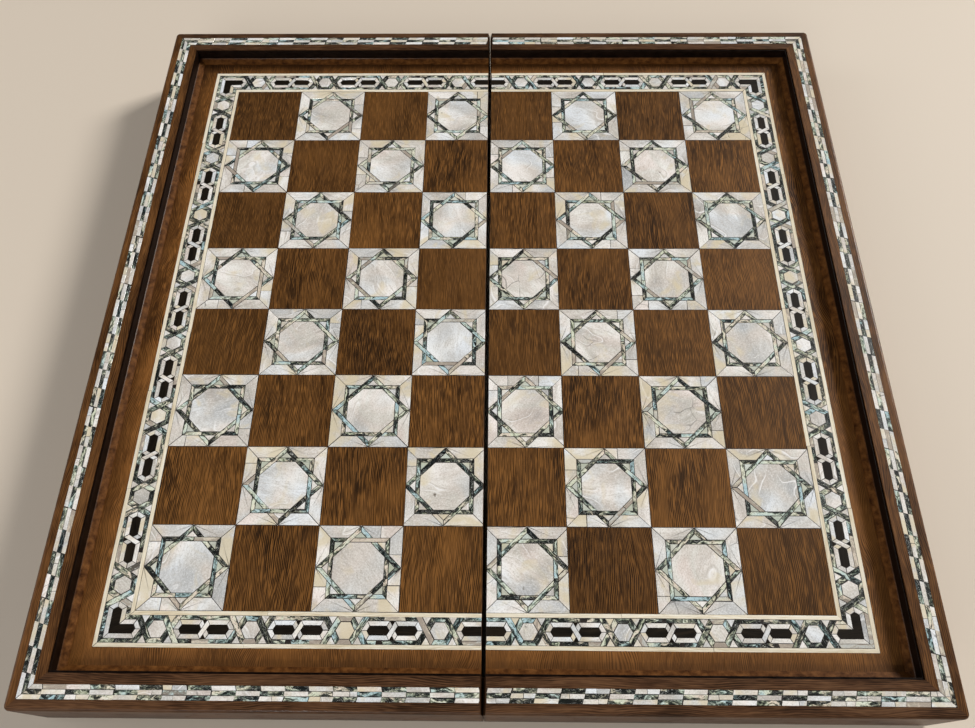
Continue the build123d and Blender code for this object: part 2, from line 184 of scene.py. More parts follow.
class Inlay:
    """Many small flat pieces let into one surface, made as one mesh."""

    def __init__(self, top, depth, sign=1, gap=GAP, edge=0.06):
        self.top = top
        self.depth = depth
        self.sign = sign
        self.gap = gap
        self.edge = edge
        self.verts = []
        self.faces = []
        self.figure = []
        self.tone = []

    def add(self, poly, grain=(0, 1), gap=None, loose=0.05, tone=None):
        """One piece. grain is the direction its figure runs along."""
        poly = wound([(x * self.sign, y * self.sign) for x, y in poly])
        # Slivers too small to lay are left out.
        if len(poly) < 3 or area(poly) < 0.25 or narrow(poly) < 2.2 * GAP:
            return
        poly = inset(poly, (self.gap if gap is None else gap) / 2)
        cx = sum(p[0] for p in poly) / len(poly)
        cy = sum(p[1] for p in poly) / len(poly)
        turn = rng.gauss(0, loose) * 0.04
        dx, dy = rng.gauss(0, loose), rng.gauss(0, loose)
        poly = [
            (
                cx + dx + (x - cx) * math.cos(turn) - (y - cy) * math.sin(turn),
                cy + dy + (x - cx) * math.sin(turn) + (y - cy) * math.cos(turn),
            )
            for x, y in poly
        ]
        if area(poly) < 0.15:
            return
        size = math.hypot(*grain)
        gx, gy = grain[0] / size, grain[1] / size
        shift = [rng.uniform(-400, 400) for _ in range(3)]
        values = tone or [rng.random() for _ in range(3)] + [0.0]
        rise = rng.uniform(-0.02, 0.02)
        rings = [
            (inset(poly, self.edge), self.top + rise),
            (poly, self.top + rise - self.edge),
            (poly, self.top - self.depth),
        ]
        base, n = len(self.verts), len(poly)
        for ring, z in rings:
            for x, y in ring:
                self.verts.append((x * MM, y * MM, z * MM))
                along, across = x * gx + y * gy, x * gy - y * gx
                self.figure.append(
                    ((along + shift[0]) * MM, (across + shift[1]) * MM, (z + shift[2]) * MM)
                )
                self.tone.append(values)
        self.faces.append([base + i for i in range(n)])
        self.faces.append([base + 2 * n + i for i in reversed(range(n))])
        for ring in (0, 1):
            upper, lower = base + ring * n, base + (ring + 1) * n
            for i in range(n):
                j = (i + 1) % n
                self.faces.append([upper + i, lower + i, lower + j, upper + j])

    def build(self, name, material, body, replaced=()):
        mesh = bpy.data.meshes.new(name)
        mesh.from_pydata(self.verts, [], self.faces)
        figure = mesh.attributes.new("figure", "FLOAT_VECTOR", "POINT")
        figure.data.foreach_set("vector", [c for v in self.figure for c in v])
        tone = mesh.attributes.new("tone", "FLOAT_COLOR", "POINT")
        tone.data.foreach_set("color", [c for v in self.tone for c in v])
        mesh.materials.append(material)
        piece = bpy.data.objects.new(name, mesh)
        bpy.context.scene.collection.objects.link(piece)
        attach(piece, body)
        if replaced:
            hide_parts(*replaced)
        return piece


# ---------------------------------------------------------------- shader tools
class Shader:
    """A node material, written as nested calls."""

    def __init__(self, name, **constants):
        self.material = bpy.data.materials.new(name)
        self.material.use_nodes = True
        self.tree = self.material.node_tree
        self.bsdf = next(n for n in self.tree.nodes if n.type == "BSDF_PRINCIPLED")
        for key, value in constants.items():
            socket = key.replace("_", " ").title().replace("Ior", "IOR")
            self.bsdf.inputs[socket].default_value = value

    def put(self, socket, value):
        if isinstance(value, bpy.types.NodeSocket):
            self.tree.links.new(value, socket)
        elif value is not None:
            socket.default_value = value

    def node(self, kind, inputs=(), out=0, **props):
        node = self.tree.nodes.new(kind)
        for key, value in props.items():
            setattr(node, key, value)
        for key, value in dict(inputs).items():
            self.put(node.inputs[key], value)
        return node.outputs[out]

    def math(self, operation, a, b=0.0):
        return self.node("ShaderNodeMath", {0: a, 1: b}, operation=operation)

    def mix(self, factor, a, b, blend="MIX"):
        a = (*a, 1) if isinstance(a, tuple) and len(a) == 3 else a
        b = (*b, 1) if isinstance(b, tuple) and len(b) == 3 else b
        return self.node(
            "ShaderNodeMix", {0: factor, 6: a, 7: b}, 2, data_type="RGBA", blend_type=blend
        )

    def noise(self, vector, scale, detail=2.0, roughness=0.5, distortion=0.0, color=False):
        return self.node(
            "ShaderNodeTexNoise",
            {
                "Vector": vector, "Scale": scale, "Detail": detail,
                "Roughness": roughness, "Distortion": distortion,
            },
            1 if color else 0,
        )

    def stretch(self, vector, x, y, z):
        return self.node("ShaderNodeVectorMath", {0: vector, 1: (x, y, z)}, operation="MULTIPLY")

    def ramp(self, factor, *stops):
        node = self.tree.nodes.new("ShaderNodeValToRGB")
        while len(node.color_ramp.elements) < len(stops):
            node.color_ramp.elements.new(0.5)
        for element, (position, value) in zip(node.color_ramp.elements, stops):
            element.position = position
            element.color = (*value, 1) if isinstance(value, tuple) else (value,) * 3 + (1,)
        self.put(node.inputs[0], factor)
        return node.outputs[0]

    def span(self, value, a, b, c=0.0, d=1.0):
        """Maps a..b to c..d, clamped."""
        return self.node(
            "ShaderNodeMapRange", {0: value, 1: a, 2: b, 3: c, 4: d}, clamp=True
        )

    def figure(self):
        return self.node("ShaderNodeAttribute", out=1, attribute_name="figure")

    def tone(self):
        color = self.node("ShaderNodeAttribute", out=0, attribute_name="tone")
        node = self.tree.nodes.new("ShaderNodeSeparateColor")
        self.put(node.inputs[0], color)
        last = self.node("ShaderNodeAttribute", out=3, attribute_name="tone")
        return node.outputs[0], node.outputs[1], node.outputs[2], last

    def place(self):
        return self.node("ShaderNodeTexCoord", out=3)

    def axes(self, vector):
        node = self.tree.nodes.new("ShaderNodeSeparateXYZ")
        self.put(node.inputs[0], vector)
        return node.outputs[0], node.outputs[1], node.outputs[2]

    def finish(self, color, roughness=None, bump=None, strength=0.2, distance=0.0002):
        self.put(self.bsdf.inputs["Base Color"], color)
        if roughness is not None:
            self.put(self.bsdf.inputs["Roughness"], roughness)
        if bump is not None:
            normal = self.node(
                "ShaderNodeBump", {"Height": bump, "Strength": strength, "Distance": distance}
            )
            self.put(self.bsdf.inputs["Normal"], normal)
        return self.material


def pearl_material():
    """Mother-of-pearl: soft bands from grey to white, partly the shell's own tone and partly
    painted sheen, with faint pink, blue and cream places.
    """
    s = Shader("pearl", coat_weight=0.45, coat_roughness=0.08, ior=1.5)
    place = s.figure()
    pick, light, extra, green = s.tone()
    tone_and_sheen_bands = s.noise(s.stretch(place, 0.6, 1, 1), 34, 1, 0.4, 1.2)
    fine = s.noise(s.stretch(place, 0.5, 1.2, 1), 130, 4, 0.62, 1.4)
    grain = s.noise(s.stretch(place, 0.9, 1.1, 1), 1100, 2, 0.7, 0.3)
    level = s.math("ADD", s.math("MULTIPLY", tone_and_sheen_bands, 0.72), s.math("MULTIPLY", fine, 0.28))
    level = s.math("ADD", level, s.span(light, 0, 1, -0.02, 0.07))
    # Painted sheen: the broad bands rise to near white, partly the shell's own tone and partly
    # light it would reflect.
    body = s.ramp(
        level,
        (0.32, (0.46, 0.45, 0.435)), (0.42, (0.60, 0.58, 0.55)),
        (0.52, (0.71, 0.685, 0.65)), (0.60, (0.86, 0.85, 0.83)), (0.68, (0.97, 0.97, 0.965)),
    )
    cloud = s.noise(place, 30, 1, 0.5, 0.8)
    hue = s.ramp(
        s.math("ADD", cloud, s.span(extra, 0, 1, -0.10, 0.10)),
        (0.30, (0.90, 0.97, 1.05)), (0.42, (0.97, 1.0, 1.02)), (0.52, (1.03, 0.985, 0.95)),
        (0.62, (1.0, 1.0, 0.96)), (0.74, (1.05, 0.96, 0.92)),
    )
    body = s.mix(0.9, body, hue, "MULTIPLY")
    # Growth lines that wander, and the grain of the polished shell.
    bent = s.node(
        "ShaderNodeVectorMath",
        {0: place, 1: s.stretch(s.noise(place, 55, 1, 0.4, 0.0, color=True), 0.016, 0.016, 0.016)},
        operation="ADD",
    )
    lines = s.noise(s.stretch(bent, 0.18, 2.0, 1), 420, 2, 0.6)
    faint = s.span(s.noise(place, 45, 1, 0.4), 0.46, 0.60, 0.03, 0.26)
    body = s.mix(s.math("MULTIPLY", s.span(lines, 0.46, 0.66), faint), body, (0.36, 0.32, 0.27))
    # Near-white streaks beside the growth lines, partly the shell's pattern and partly painted
    # highlight.
    body = s.mix(s.span(lines, 0.34, 0.44, 0.10, 0.0), body, (0.95, 0.95, 0.95))
    body = s.mix(s.span(grain, 0.50, 0.72, 0.0, 0.42), body, (0.34, 0.31, 0.27))
    body = s.mix(s.span(grain, 0.30, 0.48, 0.45, 0.0), body, (1.0, 1.0, 1.0))
    # Painted highlight and painted shade: in a few places a bright crest with a soft dark band
    # beside it, as if the shell were folded towards the light.
    fold = s.noise(s.stretch(bent, 0.35, 1, 1), 85, 0, 0.4)
    painted_fold_mask = s.span(s.noise(place, 48, 1, 0.4), 0.48, 0.60)
    shade = s.span(s.math("ABSOLUTE", s.math("SUBTRACT", fold, 0.485)), 0.0, 0.030, 0.42, 0.0)
    body = s.mix(s.math("MULTIPLY", shade, painted_fold_mask), body, (0.42, 0.38, 0.33))
    crest = s.span(s.math("ABSOLUTE", s.math("SUBTRACT", fold, 0.52)), 0.0, 0.016, 0.85, 0.0)
    body = s.mix(s.math("MULTIPLY", crest, painted_fold_mask), body, (1.0, 1.0, 1.0))
    # Yellowish and greenish places, more of them in some pieces.
    spread = s.noise(place, 62, 2, 0.5, 0.8)
    yellow = s.math("ADD", spread, s.span(pick, 0.40, 1.0, -0.12, 0.07))
    body = s.mix(s.span(yellow, 0.46, 0.64, 0.0, 0.72), body, (0.75, 0.65, 0.44))
    body = s.mix(s.math("MULTIPLY", green, 0.62), body, (0.40, 0.49, 0.36))
    # Hairline cracks and a dark speck in a few pieces.
    web = s.node(
        "ShaderNodeTexVoronoi", {"Vector": bent, "Scale": 75.0}, feature="DISTANCE_TO_EDGE"
    )
    crack = s.math("MULTIPLY", s.span(web, 0.0, 0.03, 1, 0), s.span(extra, 0.80, 0.86))
    crack = s.math("MULTIPLY", crack, s.span(s.noise(place, 60, 1), 0.52, 0.6))
    body = s.mix(s.math("MULTIPLY", crack, 0.7), body, (0.05, 0.045, 0.04))
    speck = s.noise(place, 130, 3, 0.65)
    body = s.mix(s.span(speck, 0.71, 0.78, 0.0, 0.8), body, (0.10, 0.075, 0.05))
    rough = s.span(level, 0.4, 0.62, 0.36, 0.22)
    return s.finish(body, rough, fine, 0.25, 0.00015)


def abalone_material():
    """Paua shell: grey green, with dark folds, pale veins and a few blue or pink places."""
    s = Shader("abalone", coat_weight=0.4, coat_roughness=0.08, ior=1.5)
    place = s.figure()
    pick, light, extra, _ = s.tone()
    warp = s.noise(place, 110, 2, 0.5, 0.0, color=True)
    bent = s.node(
        "ShaderNodeVectorMath", {0: place, 1: s.stretch(warp, 0.008, 0.008, 0.008)},
        operation="ADD",
    )
    swirl = s.noise(s.stretch(bent, 0.20, 1.0, 1.0), 330, 2, 0.6, 0.9)
    spark = s.noise(s.stretch(bent, 0.5, 1.0, 1.0), 1000, 2, 0.6)
    level = s.math("ADD", swirl, s.span(light, 0, 1, -0.10, 0.12))
    level = s.math("ADD", level, s.span(spark, 0.25, 0.75, -0.10, 0.10))
    body = s.ramp(
        level,
        (0.36, (0.006, 0.008, 0.008)), (0.44, (0.035, 0.042, 0.040)),
        (0.49, (0.15, 0.17, 0.145)), (0.54, (0.42, 0.44, 0.37)), (0.60, (0.80, 0.81, 0.76)),
    )
    tint = s.noise(bent, 70, 2, 0.5, 0.5)
    tint = s.ramp(
        s.math("ADD", tint, s.span(pick, 0, 1, -0.20, 0.20)),
        (0.28, (0.56, 0.82, 0.98)), (0.38, (0.78, 0.95, 0.96)), (0.47, (0.94, 1.0, 0.86)),
        (0.56, (1.04, 1.0, 0.86)), (0.65, (1.06, 0.88, 0.78)), (0.74, (0.90, 0.95, 0.78)),
    )
    body = s.mix(0.9, body, tint, "MULTIPLY")
    veins = s.noise(s.stretch(bent, 0.16, 1.2, 1), 560, 2, 0.5, 2.0)
    ridge = s.math("ABSOLUTE", s.math("SUBTRACT", veins, 0.5))
    body = s.mix(s.span(ridge, 0.0, 0.020, 0.9, 0.0), body, (0.010, 0.012, 0.012))
    crest = s.math("ABSOLUTE", s.math("SUBTRACT", veins, 0.57))
    body = s.mix(s.span(crest, 0.0, 0.014, 0.75, 0.0), body, (0.88, 0.90, 0.86))
    pale = s.span(extra, 0.88, 0.91, 0.0, 0.6)
    body = s.mix(pale, body, (0.66, 0.56, 0.47))
    return s.finish(body, s.span(swirl, 0.35, 0.65, 0.34, 0.16), swirl, 0.2, 0.0001)


def wood_material(
    name, dark, mid, light, grain="y", source="place", flecks=0.9, rough=(0.42, 0.56),
    coat=0.08, patches=0.95, coarse=1.0, figured=0.35, shine=0.22, grime=0.0, ends=0.0,
):
    """Lacquered wood with its grain along x or y of the row frame, or along the piece."""
    s = Shader(name, coat_weight=coat, coat_roughness=0.14, ior=1.45, specular_ior_level=shine)
    place = s.figure() if source == "figure" else s.place()
    if source != "figure" and grain == "y":
        x, y, z = s.axes(place)
        place = s.node("ShaderNodeCombineXYZ", {0: y, 1: x, 2: z})
    # From here on, the first coordinate runs along the grain.
    along, across, height = s.axes(place)
    warp = s.noise(s.stretch(place, 0.7, 1, 1), 30, 1, 0.4)
    across = s.math("ADD", across, s.math("MULTIPLY", height, 0.9))
    sway = s.math("MULTIPLY", s.math("SUBTRACT", warp, 0.5), 0.062 * figured)
    across = s.math("ADD", across, sway)
    bent = s.node("ShaderNodeCombineXYZ", {0: along, 1: across, 2: height})
    streaks = s.noise(s.stretch(bent, 0.05, 1, 1), 380 * coarse, 3, 0.6, 0.3)
    fine = s.noise(s.stretch(bent, 0.10, 1, 1), 1500 * coarse, 1, 0.5)
    lines = s.node(
        "ShaderNodeTexWave",
        {
            "Vector": s.stretch(bent, 0.12, 1, 1), "Scale": 290.0 * coarse, "Distortion": 2.6,
            "Detail": 2.0, "Detail Scale": 0.45, "Detail Roughness": 0.6,
        },
        1, bands_direction="Y",
    )
    level = s.math("ADD", s.math("MULTIPLY", streaks, 0.6), s.math("MULTIPLY", fine, 0.4))
    body = s.ramp(level, (0.34, dark), (0.50, mid), (0.66, light))
    broad = s.noise(s.stretch(place, 0.6, 1, 1), 26, 1, 0.5, 1.0)
    deep = tuple(c * 0.55 for c in dark)
    body = s.mix(s.span(broad, 0.32, 0.52, min(1.0, patches), 0.0), body, deep)
    glow = tuple(min(1.0, c * 1.35) for c in light)
    body = s.mix(s.span(broad, 0.52, 0.74, 0.0, patches * 0.6), body, glow)
    if flecks:
        # Pore lines side by side, stronger in some places, and short light flecks.
        places = s.noise(s.stretch(bent, 0.15, 1, 1), 240 * coarse, 1)
        force = s.span(places, 0.38, 0.62, 0.25, 1.0)
        crest = s.math("MULTIPLY", s.span(lines, 0.45, 1.0), force)
        body = s.mix(s.math("MULTIPLY", crest, flecks), body, glow)
        trough = s.math("MULTIPLY", s.span(lines, 0.0, 0.45, 1.0, 0.0), force)
        body = s.mix(s.math("MULTIPLY", trough, flecks), body, deep)
        fleck = s.noise(s.stretch(bent, 0.06, 1, 1), 1900 * coarse, 0, 0.4)
        body = s.mix(s.span(fleck, 0.56, 0.72, 0.0, min(1.0, flecks)), body, glow)
    if source == "figure":
        pick, bright, _, _ = s.tone()
        body = s.mix(s.span(bright, 0, 1, 0.30, 0.0), body, dark)
        body = s.mix(s.span(pick, 0.4, 1, 0.0, 0.20), body, light)
    if grime:
        # Painted shade: the margin darkens towards the foot of the walls, where the walls shade
        # it.
        reach = s.math("MAXIMUM", s.math("ABSOLUTE", along), s.math("ABSOLUTE", s.axes(place)[1]))
        patchy = s.noise(place, 60, 2, 0.6)
        reach = s.math("ADD", reach, s.math("MULTIPLY", s.math("SUBTRACT", patchy, 0.5), 0.012))
        body = s.mix(s.span(reach, (INNER - 14) * MM, (INNER - 5) * MM, 0.0, grime), body, deep)
        # Painted light and sheen: paler towards the player's side. Painted shadow of the far wall:
        # darker behind the far border.
        body = s.mix(s.span(along, -EDGE * MM, 0.0, 0.30, 0.0), body, light)
        body = s.mix(s.span(along, CREAM_Y * MM, (CREAM_Y + 3) * MM, 0.0, 0.45), body, dark)
    if ends:
        # Bare end grain at the saw cut of the fold, darkened as dirt and as painted shade of the
        # narrow gap between the halves.
        from_cut = s.math("ABSOLUTE", along)
        inside, outside = (END_REACH - 0.04) * MM, (END_REACH + 0.06) * MM
        body = s.mix(s.span(from_cut, inside, outside, ends, 0.0), body, deep)
    scuffs = s.noise(place, 95, 4, 0.7, 0.5)
    roughness = s.math("ADD", s.span(streaks, 0.3, 0.7, *rough), s.span(scuffs, 0.5, 0.7, 0, 0.12))
    bumps = s.math("ADD", fine, s.math("MULTIPLY", scuffs, 0.6))
    return s.finish(body, roughness, bumps, 0.25, 0.00012)


def rgb(r, g, b):
    """Linear colour from 8-bit display values."""
    def one(c):
        c /= 255
        return c / 12.92 if c < 0.04045 else ((c + 0.055) / 1.055) ** 2.4

    return (one(r), one(g), one(b))


PEARL = pearl_material()
ABALONE = abalone_material()
TILE_WOOD = wood_material(
    "tile_veneer", rgb(27, 14, 4), rgb(69, 43, 17), rgb(118, 79, 38), source="figure",
    coat=0.05, shine=0.17, coarse=1.15, flecks=1.0, figured=0.12,
)
# The margin carries painted shade at the foot of the walls, painted light towards the player and
# painted shadow behind the far border.
MARGIN_WOOD = wood_material(
    "margin_veneer", rgb(56, 30, 8), rgb(98, 60, 24), rgb(132, 87, 42), grain="y",
    grime=0.6, coarse=1.2,
)
# Its ends at the fold are darkened: bare, dirty end grain with painted shade of the gap between
# the halves.
RIM_X = wood_material(
    "rim_wood_x", rgb(40, 24, 13), rgb(71, 46, 29), rgb(99, 70, 47), grain="x", flecks=0.4,
    coat=0.12, patches=0.6, rough=(0.38, 0.50), shine=0.12, figured=0.15, ends=0.45,
)
RIM_Y = wood_material(
    "rim_wood_y", rgb(46, 26, 10), rgb(80, 50, 24), rgb(114, 76, 40), grain="y", flecks=0.4,
    coat=0.15, patches=0.6, rough=(0.38, 0.50), shine=0.15, figured=0.15,
)
CREAM = wood_material(
    "cream_line", rgb(208, 192, 160), rgb(238, 228, 204), rgb(250, 246, 232), source="figure",
    flecks=0.12, patches=0.12, coat=0.3, figured=0.1,
)
EBONY = wood_material(
    "ebony", rgb(10, 7, 4), rgb(22, 17, 10), rgb(38, 30, 20), source="figure", flecks=0.2,
    patches=0.2, coat=0.05, shine=0.15,
)
TRAY_WOOD = wood_material(
    "tray_veneer", rgb(64, 38, 20), rgb(104, 66, 36), rgb(136, 94, 56), grain="y", patches=0.35,
    coat=0.2, coarse=0.8, flecks=0.35, figured=0.12,
)
LIGHT_WOOD = wood_material(
    "light_point", rgb(170, 132, 80), rgb(204, 168, 112), rgb(224, 194, 142), grain="y",
    flecks=0.3, patches=0.2, coat=0.25,
)
DARK_WOOD = wood_material(
    "dark_point", rgb(26, 14, 8), rgb(48, 27, 15), rgb(70, 43, 25), grain="y", flecks=0.3,
    patches=0.3, coat=0.25,
)


def moulding_material():
    """Black lining whose foot is brown like the veneer."""
    s = Shader(
        "ebonised_moulding", coat_weight=0.06, coat_roughness=0.16, ior=1.45,
        specular_ior_level=0.14,
    )
    place = s.place()
    height = s.axes(place)[2]
    streaks = s.noise(s.stretch(place, 0.5, 0.5, 1), 420, 4, 0.65)
    black = s.ramp(streaks, (0.3, rgb(5, 2, 1)), (0.7, rgb(26, 14, 7)))
    brown = s.ramp(streaks, (0.3, rgb(50, 26, 8)), (0.5, rgb(90, 54, 22)), (0.7, rgb(118, 76, 36)))
    foot = s.span(height, (FIELD_TOP + 2.5) * MM, (FIELD_TOP + 3.4) * MM, 1, 0)
    body = s.mix(foot, black, brown)
    return s.finish(body, s.span(streaks, 0.3, 0.7, 0.3, 0.5), streaks, 0.25, 0.0002)


def plywood_material():
    s = Shader("plywood", ior=1.45)
    place = s.place()
    z = s.axes(place)[2]
    ply = s.math("FRACT", s.math("MULTIPLY", z, 1 / (3.2 * MM)))
    layer = s.ramp(
        ply, (0.0, rgb(150, 112, 70)), (0.46, rgb(168, 128, 84)), (0.5, rgb(92, 62, 36)),
        (0.54, rgb(118, 84, 50)), (0.96, rgb(110, 76, 44)),
    )
    streaks = s.noise(s.stretch(place, 1, 0.06, 2), 700, 3, 0.6)
    body = s.mix(s.span(streaks, 0.3, 0.7, 0.5, 0.0), layer, rgb(70, 46, 26))
    return s.finish(body, s.span(streaks, 0.3, 0.7, 0.5, 0.7), streaks, 0.3, 0.0001)


def brass_material():
    s = Shader("aged_brass", metallic=1.0)
    place = s.place()
    brush = s.noise(s.stretch(place, 0.1, 1, 1), 2600, 2, 0.6)
    stain = s.noise(place, 160, 3, 0.6, 0.6)
    body = s.mix(s.span(stain, 0.40, 0.66, 0.0, 0.75), (0.78, 0.58, 0.27), (0.30, 0.19, 0.08))
    rough = s.math("ADD", s.span(brush, 0.3, 0.7, 0.20, 0.32), s.span(stain, 0.4, 0.7, 0, 0.22))
    return s.finish(body, rough, brush, 0.1, 0.00005)


MOULDING = moulding_material()
PLYWOOD = plywood_material()
BRASS = brass_material()

# ---------------------------------------------------------------- CAD nodes that stay
NODE_LOOKS = {
    "wall_outer": RIM_Y, "wall_far": RIM_X, "wall_near": RIM_X, "wall_hinge": RIM_Y,
    "panel": PLYWOOD, "moulding_outer": MOULDING, "moulding_far": MOULDING,
    "moulding_near": MOULDING, "margin_veneer": MARGIN_WOOD, "tray_veneer": TRAY_WOOD,
    "points_light": LIGHT_WOOD, "points_dark": DARK_WOOD,
}
for node_name, node_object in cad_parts.items():
    plain = node_name.replace("left_", "").replace("right_", "")
    look = NODE_LOOKS.get(plain, BRASS)
    for slot in node_object.material_slots:
        slot.material = look


# ---------------------------------------------------------------- chess field
def star_tile(cx, cy, width, strips, centres, surrounds):
    """One light square: an eight-pointed star of two interlaced squares."""
    a = STAR_HALF
    c = a - STRIP
    reach = a * math.sqrt(2)
    inner_reach = c * math.sqrt(2)
    half = SQUARE / 2

    def place(poly, angle, target, grain, **more):
        turned = [
            (
                cx + x * math.cos(angle) - y * math.sin(angle),
                cy + x * math.sin(angle) + y * math.cos(angle),
            )
            for x, y in poly
        ]
        turned = wound(turned)
        for point, normal in (
            ((cx - width / 2, cy), (-1, 0)), ((cx + width / 2, cy), (1, 0)),
            ((cx, cy - half), (0, -1)), ((cx, cy + half), (0, 1)),
        ):
            turned = cut(turned, point, normal)
        gx = grain[0] * math.cos(angle) - grain[1] * math.sin(angle)
        gy = grain[0] * math.sin(angle) + grain[1] * math.cos(angle)
        target.add(turned, (gx, gy), **more)

    tile_tone = [rng.random() for _ in range(3)]
    for k in range(8):
        angle = k * math.pi / 4
        # The strip on this side goes over its right neighbour and under its left one.
        long_part = [(-(inner_reach - a), a), (a, a), (c, c), (-(inner_reach - c), c)]
        short_part = [(-a, a), (-(reach - a), a), (-(reach - c), c), (-c, c)]
        if rng.random() < 0.45:
            at = rng.uniform(-2, reach - a - 1)
            place(cut(wound(long_part), (at, 0), (1, 0)), angle, strips, (1, 0))
            place(cut(wound(long_part), (at, 0), (-1, 0)), angle, strips, (1, 0))
        else:
            place(long_part, angle, strips, (1, 0))
        place(short_part, angle, strips, (1, 0))
        # The small point between the strips.
        tip = [(c, c), (reach - c, c), (c, reach - c)]
        green = rng.uniform(0.6, 1.0) if rng.random() < 0.4 else 0.0
        place(tip, angle, centres, (1, 1), tone=[rng.random() * 0.8, rng.random(), 0.3, green])
        # The surround, mitred towards the tile's corners.
        if k % 2 == 0:
            upper = [(reach, 0), (half, 0), (half, half), (a, a), (a, reach - a)]
            for flip in (1, -1):
                part = wound([(x, y * flip) for x, y in upper])
                if rng.random() < 0.24:
                    at = rng.uniform(6, 15) * flip
                    place(cut(part, (0, at), (0, 1)), angle, surrounds, (0, 1))
                    place(cut(part, (0, at), (0, -1)), angle, surrounds, (0, 1))
                else:
                    place(part, angle, surrounds, (0, 1))
    d = inner_reach - c
    octagon = [(c, d), (d, c), (-d, c), (-c, d), (-c, -d), (-d, -c), (d, -c), (c, -d)]
    lightness = [tile_tone[0] * 0.5, 0.55 + 0.25 * tile_tone[1], tile_tone[2] * 0.88, 0]
    turn = rng.uniform(0, math.pi)
    place(octagon, 0, centres, (math.cos(turn), math.sin(turn)), tone=lightness)


columns = [(-FIELD_X + SQUARE * (c + 0.5), SQUARE) for c in range(3)]
columns.append((-FOLD - FOLD_COLUMN / 2, FOLD_COLUMN))
rows = [FIELD_Y - SQUARE * (r + 0.5) for r in range(8)]


def chess_field(side, sign):
    dark = Inlay(FIELD_TOP, VENEER, sign)
    strips = Inlay(FIELD_TOP, VENEER, sign, gap=STAR_GAP)
    centres = Inlay(FIELD_TOP, VENEER, sign)
    surrounds = Inlay(FIELD_TOP, VENEER, sign)
    for c, (x, width) in enumerate(columns):
        for r, y in enumerate(rows):
            if (c + r) % 2 == 0:
                half_w, half_l = width / 2, SQUARE / 2
                tile = rect(x - half_w, x + half_w, y - half_l, y + half_l)
                dark.add(tile, (rng.gauss(0, 0.03), 1), gap=0.35)
            else:
                star_tile(x, y, width, strips, centres, surrounds)
    body = f"board_{side}"
    dark.build(f"{side}_dark_tiles", TILE_WOOD, body, [f"{side}_squares_dark"])
    strips.build(f"{side}_star_inlay", ABALONE, body, [f"{side}_star_strips"])
    centres.build(f"{side}_star_pearl", PEARL, body, [f"{side}_star_centres"])
    surrounds.build(f"{side}_tile_pearl", PEARL, body, [f"{side}_star_surrounds"])


# ---------------------------------------------------------------- patterned border
def mirrored(poly, su=1, sv=1):
    return [(u * su, v * sv) for u, v in poly]


def shifted(poly, du):
    return [(u + du, v) for u, v in poly]


HEX_TIP = 2 * HEX_H / ROOT3
CROSS_HALF = CROSS_W / ROOT3
CROSS_AT = HEX_TIP + CROSS_HALF
WHITE_HALF = WHITE_W / ROOT3
BLACK_L = (CELL_PITCH - 2 * (CROSS_AT + CROSS_HALF + 2 * WHITE_HALF) - 2 * WHITE_HALF) / 4
PAIR_HALF = BLACK_L + WHITE_HALF


def hexagon_cell():
    """Pearl hexagon with its shell ring and the crossing strips on both sides."""
    shapes = []
    h, tip, top = HEX_H, HEX_TIP, HALF_BAND
    hexagon = [(tip, 0), (tip / 2, h), (-tip / 2, h), (-tip, 0), (-tip / 2, -h), (tip / 2, -h)]
    shapes.append(("hexagon", hexagon))
    for sv in (1, -1):
        lid = [(-tip / 2, h), (tip / 2, h), (tip / 2 + (top - h) / ROOT3, top),
               (-tip / 2 - (top - h) / ROOT3, top)]
        shapes.append(("shell", mirrored(lid, 1, sv)))
    for su in (1, -1):
        flip = rng.choice((1, -1))
        x = CROSS_AT
        lean = top / ROOT3
        over = [(x - lean - CROSS_HALF, top), (x - lean + CROSS_HALF, top),
                (x + lean + CROSS_HALF, -top), (x + lean - CROSS_HALF, -top)]
        under = mirrored(over, 1, -1)
        # The ends next to the hexagon are mitred against the ring's top and bottom pieces.
        slope = (-ROOT3 / 2, 0.5)
        over = cut(wound(over), (tip / 2, h), slope)
        under = cut(wound(under), (tip / 2, -h), (slope[0], -slope[1]))
        side = (ROOT3 / 2, 0.5)
        upper = cut(under, (x + CROSS_HALF, 0), (-side[0], -side[1]))
        lower = cut(under, (x - CROSS_HALF, 0), side)
        for part in (over, upper, lower):
            shapes.append(("strip", mirrored(part, su, flip)))
        apex = CROSS_HALF * ROOT3
        wedge = [(x, apex), (x + (top - apex) / ROOT3, top), (x - (top - apex) / ROOT3, top)]
        shapes.append(("wedge", mirrored(wedge, su, 1)))
        shapes.append(("wedge", mirrored(wedge, su, -1)))
    return shapes


def long_cell(black_l, ends=(1, -1)):
    """Black filling and pearl outline; ends lists the sides that close in a point."""
    shoulder = black_l - BLACK_H / ROOT3
    outer = black_l + 2 * WHITE_HALF - OUTLINE_H / ROOT3
    shapes = [
        ("black", [(black_l, 0), (shoulder, BLACK_H), (-shoulder, BLACK_H), (-black_l, 0),
                   (-shoulder, -BLACK_H), (shoulder, -BLACK_H)])
    ]
    rail = [(-shoulder, BLACK_H), (shoulder, BLACK_H), (outer, OUTLINE_H), (-outer, OUTLINE_H)]
    end = [(shoulder, BLACK_H), (black_l, 0), (black_l + 2 * WHITE_HALF, 0), (outer, OUTLINE_H)]
    for sv in (1, -1):
        shapes.append(("white", mirrored(rail, 1, sv)))
        for su in ends:
            shapes.append(("white", mirrored(end, su, sv)))
    return shapes


